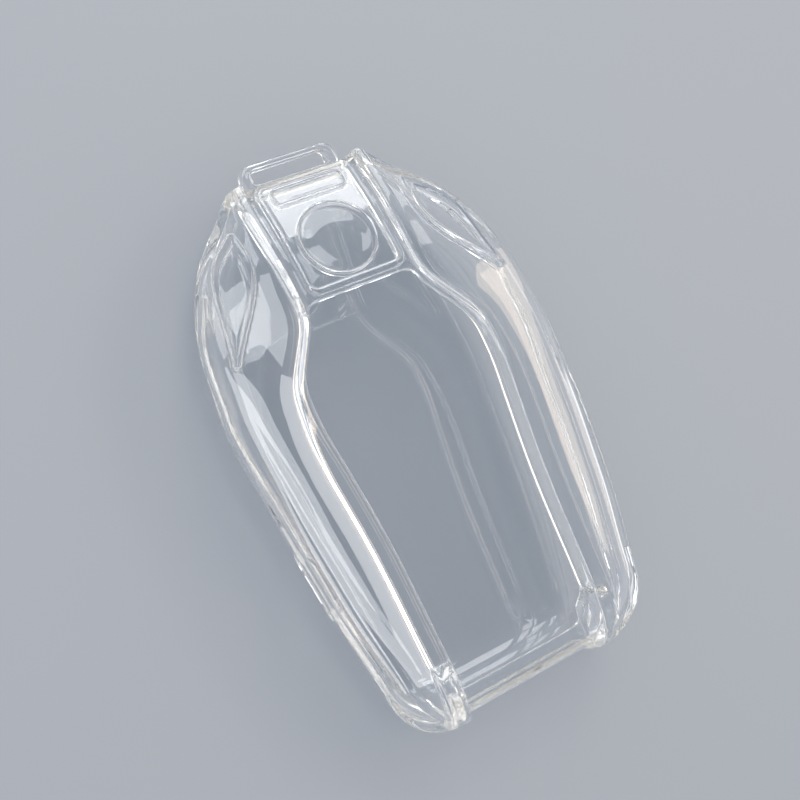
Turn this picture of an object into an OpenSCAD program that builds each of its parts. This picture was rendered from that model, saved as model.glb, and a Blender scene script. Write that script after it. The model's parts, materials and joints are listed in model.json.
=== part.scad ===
// Clear two-part cover for a car key fob with a display window.
// The cover lies on its flat back. X runs across it, Y along it towards the key-ring tab,
// and Z up to the front face. The origin is at the middle of the back.

/* [Body] */
// Length of the body, without the key-ring tab
body_len = 93.6; // [80:0.2:108]
// Width at the shoulders, the widest place
body_w = 61.4; // [54:0.2:70]
// Height from the back to the crest of the ridges
body_h = 18; // [16:0.5:22]
// Thickness of every moulded wall
wall = 1.2; // [0.9:0.1:1.5]
// Height at which the front shell meets the rear shell
split_h = 9.5; // [8.5:0.25:10.5]
// Plan radius of the two corners at the window end
corner_r = 9; // [7:0.5:11]

/* [Ridges and window] */
// Width of each ridge beside the panel; beside the window it grows to almost twice that
ridge_w = 2.1; // [1.6:0.1:2.6]
// Height of a ridge above the wing beside it
ridge_h = 0.9; // [0.5:0.1:1.1]
// Drop from the crest of the ridges to the ledge round the window
ledge_drop = 2; // [1.4:0.1:2.6]
// Width of the ledge round the window
ledge_w = 0.6; // [0.4:0.1:1.2]
// Distance from the window end of the body to the window
window_end = 4.8; // [4:0.2:7]
// Plan radius of the window corners
window_r = 2.4; // [1.5:0.1:3.5]

/* [Logo panel] */
// Width of the raised panel over the two front buttons
panel_w = 18.8; // [17:0.2:20]
// Length of the raised panel
panel_len = 21.4; // [19:0.2:24]
// Drop from the crest of the ridges to the panel
panel_drop = 0.5; // [0.3:0.1:0.9]
// Diameter of the round lock pad
lock_d = 13.2; // [11:0.2:13.6]
// Width of the unlock pad
unlock_w = 13.4; // [11:0.2:14]
// Length of the unlock pad, along the body
unlock_len = 3.2; // [2.6:0.1:3.6]

/* [Side pads] */
// Length of each leaf-shaped side pad, tip to tip
leaf_len = 23; // [19:0.5:25]
// Width of each leaf-shaped side pad
leaf_w = 6.6; // [5:0.2:7.4]
// Height of a side pad above the wing
leaf_rise = 0.5; // [0.3:0.05:0.7]
// Running gap round every pad
pad_gap = 0.15; // [0.1:0.01:0.2]
// Travel of every pad when pressed
pad_travel = 0.6; // [0.4:0.1:0.8]

/* [Charging port and key-ring tab] */
// Length of the charging port slot
port_len = 10.6; // [9:0.2:13]
// Height of the charging port slot
port_h = 4.8; // [4.4:0.1:5.6]
// Width of the key-ring tab
tab_w = 18.2; // [15:0.2:19]
// Reach of the key-ring tab past the body
tab_reach = 3.8; // [3:0.1:6]
// Width of the rim round the key-ring slot
tab_rim = 1; // [0.7:0.1:1.3]
// Height of the rim of the key-ring tab
tab_h = 2; // [1.6:0.1:2.2]

/* [Hidden] */

overrun = 1;
total_len = body_len + tab_reach;
y_end = -total_len / 2;
half_body_w = body_w / 2;

// Half width along the body, as shares of the half width at the shoulders.
// First the place along the body, from the window end, then the share.
side_shares = [[0, 0.785], [0.107, 0.818], [0.235, 0.889], [0.32, 0.922], [0.395, 0.951], [0.481, 0.974],
    [0.545, 0.993], [0.616, 1], [0.652, 0.985], [0.72, 0.964], [0.76, 0.938], [0.8, 0.896],
    [0.833, 0.85], [0.876, 0.78], [0.914, 0.687], [0.94, 0.596], [0.972, 0.505], [1, 0.43]];
// Inner line of the ridges, as shares of the same half width
ridge_shares = [[0, 0.43], [0.107, 0.453], [0.32, 0.479], [0.481, 0.528], [0.545, 0.553], [0.62, 0.554],
    [0.641, 0.534], [0.694, 0.43], [0.737, 0.355], [0.79, 0.338], [0.93, 0.352], [1, 0.345]];
// Height of the crest of the ridges, as shares of the body height
crest_shares = [[0, 1], [0.64, 1], [0.7, 0.985], [0.76, 0.955], [0.83, 0.915], [0.9, 0.84],
    [0.965, 0.745], [1, 0.69]];
// Height of the widest line, as shares of the way from the back to the wing
bulge_shares = [[0, 0.85], [0.3, 0.88], [0.45, 0.86], [0.6, 0.78], [0.75, 0.76], [0.88, 0.78], [1, 0.85]];
// Edge of the flat back, and middles of the port and of the side pads, as shares
back_w_share = 0.7;
port_share = 0.315;
leaf_place_shares = [0.81, 0.684];
leaf_turn = 23.5;
// Width of the rounded band between the crease of the wing and the widest line, as shares
// of the half width at the shoulders
band_shares = [[0, 0.1], [0.5, 0.1], [0.8, 0.07], [1, 0.06]];
least_flat = 0.35;

// Fall of the wing from the ridge to its crease, and roundness of the band beyond it and of the
// lower side, as the powers of their curves
wing_fall = 0.8;
band_power = 1.6;
under_power = 1.32;
wide_ridge = 1.8;

// Lengths over which the body rounds off at its two ends
nose_len = 9;
heel_len = 8;
toe_len = 8.5;
tip_r = 1;
// How far the shells reach above and below the split at the ends
nose_rise = 3.1;
heel_drop = 1.7;
toe_drop = 2.4;
// The bar that closes the window end, and how far it and the panel end stand back from the ridges
bar_rise = 2.1;
bar_ramp = 8;
end_recess = 0.8;
// Least width of the wing beside a ridge, and least height of the widest line above the split
least_wing = 0.5;
least_lap = 0.35;
// Corner radius of the raised panel and of the pad in it, and the wall round the hollow under the panel
panel_r = 2.2;
unlock_r = 1;
hollow_wall = 0.8;
// Round of the ridge edges, and the turns that draw it
ridge_r = 0.6;
ridge_turns = [0, 45, 90];
quarter_turn = 90;
// The tongue on the rear shell that holds the front shell in line
tongue_h = 1.4;
tongue_t = 0.5;
tongue_gap = 0.1;
tongue_shares = [0.14, 0.84];
// The lip that holds each pad under the front shell, and the room beside and between the lips
lip_w = 0.5;
lip_t = 0.4;
lip_gap = 0.05;
lip_room = 0.15;
between_lips = 0.6;
pad_reach = 4;
// Height of the middle of the port above the split, and the corners of the key-ring tab
port_rise = 0.3;
tab_r = 2.2;
slot_r = 0.9;
tab_drop = 0.15;

// Turns that draw the wing, from the ridge over the crease to the widest line
crease_turn = 60;
wing_turns = [0, 15, 30, 45, 60, 67, 75, 83, 90];

// Counts of stations and of points that draw the curves
under_steps = 6;
lap_steps = 2;
end_steps = 6;
mid_steps = 11;
far_steps = 17;
leaf_steps = 14;
rail_steps = 14;

// A smooth curve through the points of a table
function gap_of(tab, t, i = 0) = i >= len(tab) - 2 || t < tab[i + 1][0] ? i : gap_of(tab, t, i + 1);
function rise_at(tab, i) =
    let (a = max(i - 1, 0), b = min(i + 1, len(tab) - 1)) (tab[b][1] - tab[a][1]) / (tab[b][0] - tab[a][0]);
function along(tab, t) =
    let (i = gap_of(tab, t), h = tab[i + 1][0] - tab[i][0], u = (t - tab[i][0]) / h)
    (2 * u ^ 3 - 3 * u ^ 2 + 1) * tab[i][1] + (u ^ 3 - 2 * u ^ 2 + u) * h * rise_at(tab, i)
    + (3 * u ^ 2 - 2 * u ^ 3) * tab[i + 1][1] + (u ^ 3 - u ^ 2) * h * rise_at(tab, i + 1);
function mix(a, b, t) = a + (b - a) * t;
function eased(t) = let (u = min(1, max(0, t))) u * u * (3 - 2 * u);
// Rise of a quarter ellipse of unit height, from 0 at its start to 1 after a length
function quarter(s, len) = s >= len ? 1 : sqrt(max(0, 1 - ((len - s) / len) ^ 2));

// The form, as functions of the place s along the body and of the distance d that it is drawn in by.
// The ends are drawn in further, because the faces between the ridges stand back there.
function inset(d) = d * (1 + end_recess / wall);
function place_y(s, d) = y_end + inset(d) + s * (body_len - 2 * inset(d)) / body_len;
function half_w(s) = half_body_w * along(side_shares, s / body_len)
    - corner_r * (1 - quarter(s, corner_r)) - tip_r * (1 - quarter(body_len - s, tip_r));
function crest_z(s) = mix(split_h + nose_rise, body_h * along(crest_shares, s / body_len), quarter(s, nose_len));
function back_z(s) = (split_h - heel_drop) * (1 - quarter(s, heel_len))
    + (split_h - toe_drop) * (1 - quarter(body_len - s, toe_len));
function wing_top(s, d) = crest_z(s) - ridge_h - d;
function bulge_z(s, d) =
    max(split_h + least_lap, mix(back_z(s) + d, wing_top(s, d), along(bulge_shares, s / body_len)));
function ridge_x(s) = half_body_w * along(ridge_shares, s / body_len);
function ridge_out(s) =
    min(ridge_x(s) + ridge_w * mix(wide_ridge, 1, eased((s / body_len - 0.45) / 0.2)), half_w(s) - least_wing);
function strip_z(s) = max(split_h + bar_rise,
    mix(split_h + bar_rise, crest_z(s) - ledge_drop, eased((s - window_end) / bar_ramp)));
function panel_z(s) = crest_z(s) - panel_drop;

// Points of half a cross-section, as [x, z]. A turn of 90 degrees draws the whole of a curve.
// The wing falls gently from the ridge to a crease, then rounds over to the widest line.
function crease_x(s, d) =
    let (x0 = ridge_out(s), wide = wide_at(s, d))
    max(mix(x0, wide, least_flat), wide - half_body_w * along(band_shares, s / body_len));
function crease_z(s, d) = wing_top(s, d) - min(wing_fall, 0.4 * (wing_top(s, d) - bulge_z(s, d)));
function wing_point(s, d, turn) =
    let (x0 = ridge_out(s), xc = crease_x(s, d), top = wing_top(s, d), zc = crease_z(s, d))
    turn <= crease_turn
        ? let (u = turn / crease_turn) [mix(x0, xc, u), mix(top, zc, u ^ 2)]
        : let (a = (turn - crease_turn) * quarter_turn / (quarter_turn - crease_turn))
            [mix(xc, wide_at(s, d), sin(a) ^ (2 / band_power)), mix(bulge_z(s, d), zc, cos(a) ^ (2 / band_power))];
function wide_at(s, d) = max(ridge_out(s) + least_wing / 4, half_w(s) - d);
function under_point(s, d, turn) =
    let (wide = wide_at(s, d), flat = half_w(s) * back_w_share - d / 2, bulge = bulge_z(s, d))
    [mix(flat, wide, cos(turn) ^ (2 / under_power)), mix(bulge, back_z(s) + d, sin(turn) ^ (2 / under_power))];
// The turn at which the lower curve passes the split
function split_turn(s, d) =
    let (bulge = bulge_z(s, d)) asin(((bulge - split_h) / (bulge - back_z(s) - d)) ^ (under_power / 2));
function split_point(s, d) = [under_point(s, d, split_turn(s, d))[0], split_h];

// The rounded top of a ridge, from its inner foot to its outer foot
function ridge_points(s) =
    let (x = ridge_x(s), x0 = ridge_out(s), top = crest_z(s),
        r = min(ridge_r, 0.45 * (x0 - x), 0.45 * (top - max(strip_z(s), wing_top(s, 0)))))
    [for (a = ridge_turns) [x + r * (1 - cos(a)), top - r * (1 - sin(a))],
        for (a = ridge_turns) [x0 - r * (1 - sin(a)), top - r * (1 - cos(a))]];
function front_half(s, d) = concat(
    [[0, strip_z(s) - d], [ridge_x(s), strip_z(s) - d]],
    d > 0 ? [] : ridge_points(s),
    [for (a = wing_turns) wing_point(s, d, a)],
    [for (i = [1:lap_steps - 1]) under_point(s, d, split_turn(s, d) * i / lap_steps)],
    [split_point(s, d)]);
function rear_half(s, d) = let (a = split_turn(s, d)) concat(
    [[0, back_z(s) + d]],
    [for (i = [under_steps:-1:1]) under_point(s, d, mix(a, quarter_turn, i / under_steps))],
    [split_point(s, d)]);

// A whole section in space, from the left rim to the right rim
function across(half, y) = concat(
    [for (i = [len(half) - 1:-1:1]) [-half[i][0], y, half[i][1]]],
    [for (p = half) [p[0], y, p[1]]]);

// Places of the cross-sections, close together where the form turns
stations = concat(
    [for (i = [0:end_steps - 1]) corner_r * (1 - cos(quarter_turn * i / end_steps))],
    [for (i = [0:mid_steps]) mix(corner_r, 0.6 * body_len, i / mid_steps)],
    [for (i = [0:far_steps]) mix(0.615 * body_len, body_len - 2 * tip_r, i / far_steps)],
    [for (i = [3:-1:0]) body_len - tip_r * (1 - cos(quarter_turn * i / 4))]);

// One shell: an outer and an inner skin that meet in a rim on the split plane.
// Each ring of points runs over the front, or under the back if the shell is turned over.
function ring_faces(n, m, base, turned) = [for (i = [0:m - 2]) for (j = [0:n - 2])
    let (a = base + i * n + j, b = a + 1, c = b + n, d = a + n)
    each (turned ? [[a, b, c], [a, c, d]] : [[a, d, c], [a, c, b]])];
function cap_faces(n, base, mid, turned) =
    let (c = (n - 1) / 2, right = base + c + 1, left = base + c - 1, last = base + n - 1)
    flip_if(turned, concat(
        [for (k = [c + 2:n - 2]) [right, base + k, base + k + 1]],
        [for (k = [0:c - 3]) [left, base + k, base + k + 1]],
        [[mid, right, last], [mid, base + c, right], [mid, left, base + c], [mid, base, left]]));
function flip_if(turned, faces) = turned ? [for (f = faces) [f[0], f[2], f[1]]] : faces;
function quad(a, b, c, d) = [[a, b, c], [a, c, d]];
module shell(outer, inner, turned) {
    m = len(outer);
    n = len(outer[0]);
    k = len(inner[0]);
    base = m * n;
    mids = base + m * k;
    y0 = outer[0][0][1];
    y1 = inner[0][0][1];
    y2 = inner[m - 1][0][1];
    y3 = outer[m - 1][0][1];
    last_out = base - n;
    last_in = mids - k;
    rim = concat(
        [for (i = [0:m - 2]) each quad(i * n, base + i * k, base + i * k + k, i * n + n)],
        [for (i = [1:m - 1]) each quad(base + i * k - 1, i * n - 1, i * n + n - 1, base + i * k + k - 1)],
        quad(0, mids, mids + 1, base), quad(mids, n - 1, base + k - 1, mids + 1),
        quad(last_in, mids + 2, mids + 3, last_out), quad(mids + 2, mids - 1, base - 1, mids + 3));
    polyhedron(
        points = concat([for (ring = outer) each ring], [for (ring = inner) each ring],
            [for (y = [y0, y1, y2, y3]) [0, y, split_h]]),
        faces = concat(
            ring_faces(n, m, 0, turned), ring_faces(k, m, base, !turned),
            cap_faces(n, 0, mids, turned), cap_faces(k, base, mids + 1, !turned),
            cap_faces(k, last_in, mids + 2, turned), cap_faces(n, last_out, mids + 3, !turned),
            flip_if(turned, rim)));
}
module front_form() {
    shell([for (s = stations) across(front_half(s, 0), place_y(s, 0))],
        [for (s = stations) across(front_half(s, wall), place_y(s, wall))], false);
}
module rear_form() {
    shell([for (s = stations) across(rear_half(s, 0), place_y(s, 0))],
        [for (s = stations) across(rear_half(s, wall), place_y(s, wall))], true);
}

// A closed skin through rings of points that run round a bar or a slab
module skin(rings) {
    n = len(rings[0]);
    m = len(rings);
    polyhedron(
        points = [for (ring = rings) each ring],
        faces = concat(
            [for (i = [0:m - 2]) for (j = [0:n - 1])
                let (a = i * n + j, b = i * n + (j + 1) % n) each [[a, a + n, b + n], [a, b + n, b]]],
            [for (j = [1:n - 2]) [0, j, j + 1]],
            [for (j = [1:n - 2]) [(m - 1) * n, (m - 1) * n + j + 1, (m - 1) * n + j]]));
}
// The tongue, or the rebate that takes it, between two distances from the side wall
module rail(out, in, low, high) {
    skin([for (i = [0:rail_steps])
        let (s = body_len * mix(tongue_shares[0], tongue_shares[1], i / rail_steps), x = split_point(s, 0)[0])
        [[x - in, y_end + s, low], [x - in, y_end + s, high], [x - out, y_end + s, high], [x - out, y_end + s, low]]]);
}

// A slab that follows the wing, between two depths under its surface
function slab_ring(s, top, bottom, steps, from, to) = concat(
    [for (i = [0:steps]) let (p = wing_point(s, top, mix(from, to, i / steps))) [p[0], place_y(s, top), p[1]]],
    [for (i = [steps:-1:0]) let (p = wing_point(s, bottom, mix(from, to, i / steps)))
        [p[0], place_y(s, bottom), p[1]]]);
slab_shares = [0.665, 0.955];
slab_turns = [6, 78];
module wing_slab(top, bottom) {
    n = 6;
    m = 11;
    rings = [for (i = [0:m])
        slab_ring(body_len * mix(slab_shares[0], slab_shares[1], i / m), top, bottom, n, slab_turns[0], slab_turns[1])];
    count = 2 * n + 2;
    ends = [for (j = [0:n - 1]) each [[j, j + 1, count - 2 - j], [j, count - 2 - j, count - 1 - j]]];
    polyhedron(
        points = [for (ring = rings) each ring],
        faces = concat(
            [for (i = [0:m - 1]) for (j = [0:count - 1])
                let (a = i * count + j, b = i * count + (j + 1) % count)
                each [[a, a + count, b + count], [a, b + count, b]]],
            ends,
            [for (f = ends) [m * count + f[0], m * count + f[2], m * count + f[1]]]));
}

// Places of the pads: [x, y, z] on the outer surface, and the outward direction there.
// The two pads of the panel are placed from its lower edge, with their lips inside its hollow, and with
// room for the lean of the press direction.
panel_from = body_len - end_recess - panel_len;
panel_to = body_len - end_recess;
function unit(v) = v / norm(v);
function panel_out(s) = unit([0, -(panel_z(s + overrun) - panel_z(s - overrun)) / (2 * overrun), 1]);
panel_mid = (panel_from + panel_to) / 2;
lean_room = (wall + lip_gap + lip_t + pad_travel) * (panel_z(panel_mid - overrun) - panel_z(panel_mid + overrun)) / (2 * overrun);
lip_sum = 4 * lip_w + 2 * lip_room + between_lips + lean_room;
lock_size = min(lock_d, panel_len - 2 * hollow_wall - lip_sum - unlock_len);
lock_s = panel_from + hollow_wall + lip_room + lean_room + lip_w + lock_size / 2;
unlock_s = lock_s + lock_size / 2 + 2 * lip_w + between_lips + unlock_len / 2;
leaf_s = body_len * leaf_place_shares[0];
leaf_x = half_body_w * leaf_place_shares[1];
lock_at = [0, y_end + lock_s, panel_z(lock_s)];
unlock_at = [0, y_end + unlock_s, panel_z(unlock_s)];
function wing_at(s, x) =
    wing_point(s, 0, crease_turn * (x - ridge_out(s)) / (crease_x(s, 0) - ridge_out(s)))[1];
leaf_at = [leaf_x, y_end + leaf_s, wing_at(leaf_s, leaf_x)];
leaf_out = unit([
    -(wing_at(leaf_s, leaf_x + overrun) - wing_at(leaf_s, leaf_x - overrun)) / (2 * overrun),
    -(wing_at(leaf_s + overrun, leaf_x) - wing_at(leaf_s - overrun, leaf_x)) / (2 * overrun), 1]);
echo(lock_at = lock_at, lock_out = panel_out(lock_s));
echo(unlock_at = unlock_at, unlock_out = panel_out(unlock_s));
echo(leaf_at = leaf_at, leaf_out = leaf_out);

// Sets its children upright on a place, with +Z turned to the outward direction
module set_at(place, out) {
    turn = atan2(out[1], out[0]);
    lean = acos(out[2]);
    translate(place) rotate([0, 0, turn]) rotate([0, lean, 0]) rotate([0, 0, -turn]) children();
}
module pad_prism() {
    translate([0, 0, -pad_reach]) linear_extrude(2 * pad_reach) children();
}

// A leaf with two pointed ends, drawn by two equal arcs
module leaf(grow) {
    r = (leaf_len ^ 2 + leaf_w ^ 2) / (4 * leaf_w);
    sweep = asin(leaf_len / (2 * r));
    offset(r = grow + 0.01, $fn = 24)
        polygon([for (side = [1, -1]) for (i = [0:leaf_steps - 1])
            let (a = sweep * (2 * i / leaf_steps - 1))
            side * [r * cos(a) - (r - leaf_w / 2), r * sin(a)]]);
}
module leaf_prism(grow) {
    set_at(leaf_at, leaf_out) rotate([0, 0, leaf_turn]) pad_prism() leaf(grow);
}
module both_sides() {
    children();
    mirror([1, 0, 0]) children();
}
module lock_prism(grow) {
    set_at(lock_at, panel_out(lock_s)) translate([0, 0, -pad_reach])
        cylinder(d = lock_size + 2 * grow, h = 2 * pad_reach, $fn = 64);
}
module rounded_rect(w, h, r) {
    offset(r = r, $fn = 32) square([w - 2 * r, h - 2 * r], center = true);
}
module unlock_prism(grow) {
    set_at(unlock_at, panel_out(unlock_s)) pad_prism()
        rounded_rect(unlock_w + 2 * grow, unlock_len + 2 * grow, unlock_r + grow);
}

// A slab of the raised panel, between two depths under its surface
module panel_slab(w, from, to, top, bottom) {
    steps = 12;
    places = [for (i = [0:steps]) mix(from, to, i / steps)];
    rotate([90, 0, 90]) linear_extrude(w, center = true)
        polygon(concat(
            [for (s = places) [y_end + s, panel_z(s) - top]],
            [for (i = [steps:-1:0]) [y_end + places[i], bottom < 0 ? strip_z(places[i]) + bottom : panel_z(places[i]) - bottom]]));
}
// The panel as a block down into the strip, or as the hollow under it
module panel_block(d, down) {
    intersection() {
        panel_slab(panel_w - 2 * d, panel_from + d, panel_to - d, d > 0 ? wall : 0, -down);
        translate([0, y_end + (panel_from + panel_to) / 2, 0]) linear_extrude(2 * body_h)
            rounded_rect(panel_w - 2 * d, panel_to - panel_from - 2 * d, panel_r - d / 2);
    }
}

// The display window, between the ridges and drawn in by the ledge
module window_prism() {
    top = panel_from - ledge_w;
    steps = 20;
    edge = [for (i = [0:steps]) let (s = mix(window_end, top, i / steps)) [ridge_x(s) - ledge_w, y_end + s]];
    translate([0, 0, split_h + tongue_gap]) linear_extrude(body_h)
        offset(r = window_r, $fn = 32) offset(delta = -window_r)
            polygon(concat(edge, [for (i = [steps:-1:0]) [-edge[i][0], edge[i][1]]]));
}

// The two ends stand back a little between the ridges
module end_recesses() {
    w = 2 * ridge_x(0) - least_wing;
    translate([-w / 2, y_end - overrun, -overrun]) cube([w, overrun + end_recess, 2 * body_h]);
    top_w = 2 * ridge_x(body_len) - least_wing;
    translate([-top_w / 2, y_end + body_len - end_recess, -overrun]) cube([top_w, end_recess + overrun, 2 * body_h]);
}

// The slot for the charging plug, through the left side
module port_slot(grow) {
    r = port_h / 2 + grow;
    run = port_len / 2 - port_h / 2;
    s = body_len * port_share;
    translate([-body_w, y_end + s, split_h + port_rise]) rotate([0, 90, 0])
        linear_extrude(body_w) {
            for (side = [-1, 1]) translate([0, side * run]) circle(r = r, $fn = 48);
            square([2 * r, 2 * run], center = true);
        }
}

module key_ring_tab() {
    root = y_end + body_len - end_recess - wall / 2;
    tip = y_end + total_len;
    start = y_end + body_len - end_recess + tab_rim;
    translate([0, 0, split_h - tab_h - tab_drop]) difference() {
        translate([0, (root + tip) / 2, 0]) linear_extrude(tab_h) rounded_rect(tab_w, tip - root, tab_r);
        translate([0, (start + tip - tab_rim) / 2, -overrun]) linear_extrude(tab_h + 2 * overrun)
            rounded_rect(tab_w - 4 * tab_rim, tip - tab_rim - start, slot_r);
    }
}

module rear_shell() {
    color("whitesmoke", 0.4) union() {
        difference() {
            union() {
                rear_form();
                both_sides() rail(wall - tongue_t - tongue_gap, wall - tongue_gap, split_h - tongue_t, split_h + tongue_h);
            }
            end_recesses();
            port_slot(0);
        }
        key_ring_tab();
    }
}

module front_shell() {
    color("white", 0.4)
        difference() {
            union() {
                front_form();
                panel_block(0, wall / 2);
            }
            panel_block(hollow_wall, wall + overrun / 2);
            both_sides() rail(wall - tongue_t - 2 * tongue_gap, wall + tongue_t, split_h - overrun, split_h + tongue_h + tongue_gap);
            window_prism();
            end_recesses();
            port_slot(0);
            lock_prism(pad_gap);
            unlock_prism(pad_gap);
            both_sides() leaf_prism(pad_gap);
        }
}

module panel_pad() {
    union() {
        intersection() {
            children(0);
            panel_slab(panel_w, panel_from, panel_to, 0, wall + lip_t / 2);
        }
        intersection() {
            children(1);
            panel_slab(panel_w, panel_from, panel_to, wall + lip_gap, wall + lip_gap + lip_t);
        }
    }
}
module lock_pad() {
    color("white", 0.5) panel_pad() {
        lock_prism(0);
        lock_prism(lip_w);
    }
}
module unlock_pad() {
    color("white", 0.5) panel_pad() {
        unlock_prism(0);
        unlock_prism(lip_w);
    }
}

module right_pad() {
    color("white", 0.5) union() {
        intersection() {
            leaf_prism(0);
            wing_slab(-leaf_rise, wall + lip_t / 2);
        }
        intersection() {
            leaf_prism(lip_w);
            wing_slab(wall + lip_gap, wall + lip_gap + lip_t);
        }
    }
}
module left_pad() {
    mirror([1, 0, 0]) right_pad();
}

rear_shell();
front_shell();
lock_pad();
unlock_pad();
left_pad();
right_pad();
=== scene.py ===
# %% [markdown]
# A clear two-part cover for a car key fob with a display. It is moulded in glass-clear plastic, so there is
# no colour to paint: what the eye sees is where the wall bends light, at every rim, ridge and step.
# This lesson rebuilds the cover's pieces with smooth walls and rounded rims over a fixed frame of
# engineering solids, and gives them one well-described clear plastic.

import functools
import json
import math

import bmesh
import bpy
from mathutils import Matrix, Vector

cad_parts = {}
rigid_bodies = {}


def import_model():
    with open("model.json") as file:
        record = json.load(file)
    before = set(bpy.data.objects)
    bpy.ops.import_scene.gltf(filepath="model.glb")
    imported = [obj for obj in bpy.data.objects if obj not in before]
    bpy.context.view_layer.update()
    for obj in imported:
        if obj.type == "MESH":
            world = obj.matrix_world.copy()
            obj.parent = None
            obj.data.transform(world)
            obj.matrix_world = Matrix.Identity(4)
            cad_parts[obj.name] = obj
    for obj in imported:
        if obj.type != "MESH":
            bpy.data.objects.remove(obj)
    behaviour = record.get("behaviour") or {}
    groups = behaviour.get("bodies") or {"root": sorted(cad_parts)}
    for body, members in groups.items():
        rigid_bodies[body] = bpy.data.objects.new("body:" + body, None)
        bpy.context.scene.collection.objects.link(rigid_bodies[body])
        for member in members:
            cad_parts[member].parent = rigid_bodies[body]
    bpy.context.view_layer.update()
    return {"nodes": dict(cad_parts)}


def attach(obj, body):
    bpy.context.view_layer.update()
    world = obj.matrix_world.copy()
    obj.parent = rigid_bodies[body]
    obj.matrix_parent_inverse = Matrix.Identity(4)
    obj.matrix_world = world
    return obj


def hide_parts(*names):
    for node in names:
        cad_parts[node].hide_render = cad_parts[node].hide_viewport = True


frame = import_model()
print("solids:", sorted(frame["nodes"]))

# %% [markdown]
# The camera stands where the photograph was taken from: above and to the left of the cover, looking down
# on its front. It is written as a place, a viewing direction and an up direction in millimetres of the
# cover's own frame, and a focal length in pixels of a picture 800 pixels wide.

# %% Camera
MM = 0.001
PICTURE_WIDTH = 800
FOCAL_PIXELS = 1265
CAMERA_PLACE = Vector((-88.3, -9.0, 201.1))
CAMERA_FORWARD = Vector((0.4195, 0.0549, -0.9061))
CAMERA_UP = Vector((0.358, 0.9073, 0.2208))
SENSOR_WIDTH = 36


def add_camera():
    """A camera at the photograph's viewing angle, with no depth of field."""
    data = bpy.data.cameras.new("camera")
    data.sensor_width = SENSOR_WIDTH
    data.lens = SENSOR_WIDTH * FOCAL_PIXELS / PICTURE_WIDTH
    data.clip_start = 0.01
    camera = bpy.data.objects.new("camera", data)
    bpy.context.scene.collection.objects.link(camera)
    forward = CAMERA_FORWARD.normalized()
    right = forward.cross(CAMERA_UP).normalized()
    up = right.cross(forward)
    turn = Matrix((right, up, -forward)).transposed()
    camera.matrix_world = Matrix.Translation(CAMERA_PLACE * MM) @ turn.to_4x4()
    bpy.context.scene.camera = camera
    return camera


camera = add_camera()
print("camera lens:", round(camera.data.lens, 1), "mm")

# %% [markdown]
# The form is a set of curves along the body, from the window end to the key-ring end. Each curve is a short
# table of places and values. The same tables draw the engineering solids, so the smooth pieces fit them.

# %% Sizes in millimetres
BODY_LEN = 93.6
HALF_BODY_W = 30.7
BODY_H = 18
WALL = 1.2
SPLIT_H = 9.5
TAB_REACH = 3.8
Y_END = -(BODY_LEN + TAB_REACH) / 2
CORNER_R, TIP_R = 9, 1
RIDGE_W, RIDGE_H, WIDE_RIDGE = 2.1, 0.9, 1.8
LEDGE_DROP, LEDGE_W = 2, 0.6
WINDOW_END, WINDOW_R = 4.8, 2.4
PANEL_W, PANEL_LEN, PANEL_DROP, PANEL_R = 18.8, 21.4, 0.5, 2.2
END_RECESS = 0.8
NOSE_LEN, HEEL_LEN, TOE_LEN = 9, 8, 8.5
NOSE_RISE, HEEL_DROP, TOE_DROP = 3.1, 1.7, 2.4
# The ledge falls to the end bar over BAR_RAMP, a shorter stretch than in the solids.
BAR_RISE, BAR_RAMP = 2.1, 4.5
LEAST_WING, LEAST_LAP, LEAST_FLAT = 0.5, 0.35, 0.35
BACK_W_SHARE, UNDER_POWER, BAND_POWER, WING_FALL = 0.7, 1.32, 1.6, 0.8

SIDE_SHARES = [(0, 0.785), (0.107, 0.818), (0.235, 0.889), (0.32, 0.922), (0.395, 0.951), (0.481, 0.974),
               (0.545, 0.993), (0.616, 1), (0.652, 0.985), (0.72, 0.964), (0.76, 0.938), (0.8, 0.896),
               (0.833, 0.85), (0.876, 0.78), (0.914, 0.687), (0.94, 0.596), (0.972, 0.505), (1, 0.43)]
RIDGE_SHARES = [(0, 0.43), (0.107, 0.453), (0.32, 0.479), (0.481, 0.528), (0.545, 0.553), (0.62, 0.554),
                (0.641, 0.534), (0.694, 0.43), (0.737, 0.355), (0.79, 0.338), (0.93, 0.352), (1, 0.345)]
CREST_SHARES = [(0, 1), (0.64, 1), (0.7, 0.985), (0.76, 0.955), (0.83, 0.915), (0.9, 0.84), (0.965, 0.745),
                (1, 0.69)]
BULGE_SHARES = [(0, 0.85), (0.3, 0.88), (0.45, 0.86), (0.6, 0.78), (0.75, 0.76), (0.88, 0.78), (1, 0.85)]
BAND_SHARES = [(0, 0.1), (0.5, 0.1), (0.8, 0.07), (1, 0.06)]
print("body:", BODY_LEN, "mm long,", 2 * HALF_BODY_W, "mm wide and", BODY_H, "mm thick")


# %% [markdown]
# A smooth curve has to run through the points of each table. Between two points it is a cubic that keeps the
# slope at both. Every value is then averaged over a short stretch, because a curve with no sudden change of
# bend gives clear plastic its long unbroken highlights.

# %% Curves along the body
def mix(a, b, t):
    return a + (b - a) * t


def eased(t):
    t = min(1, max(0, t))
    return t * t * (3 - 2 * t)


def quarter(s, length):
    """Rise of a quarter ellipse of unit height, from 0 at its start to 1 after a length."""
    return 1 if s >= length else math.sqrt(max(0, 1 - ((length - s) / length) ** 2))


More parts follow.
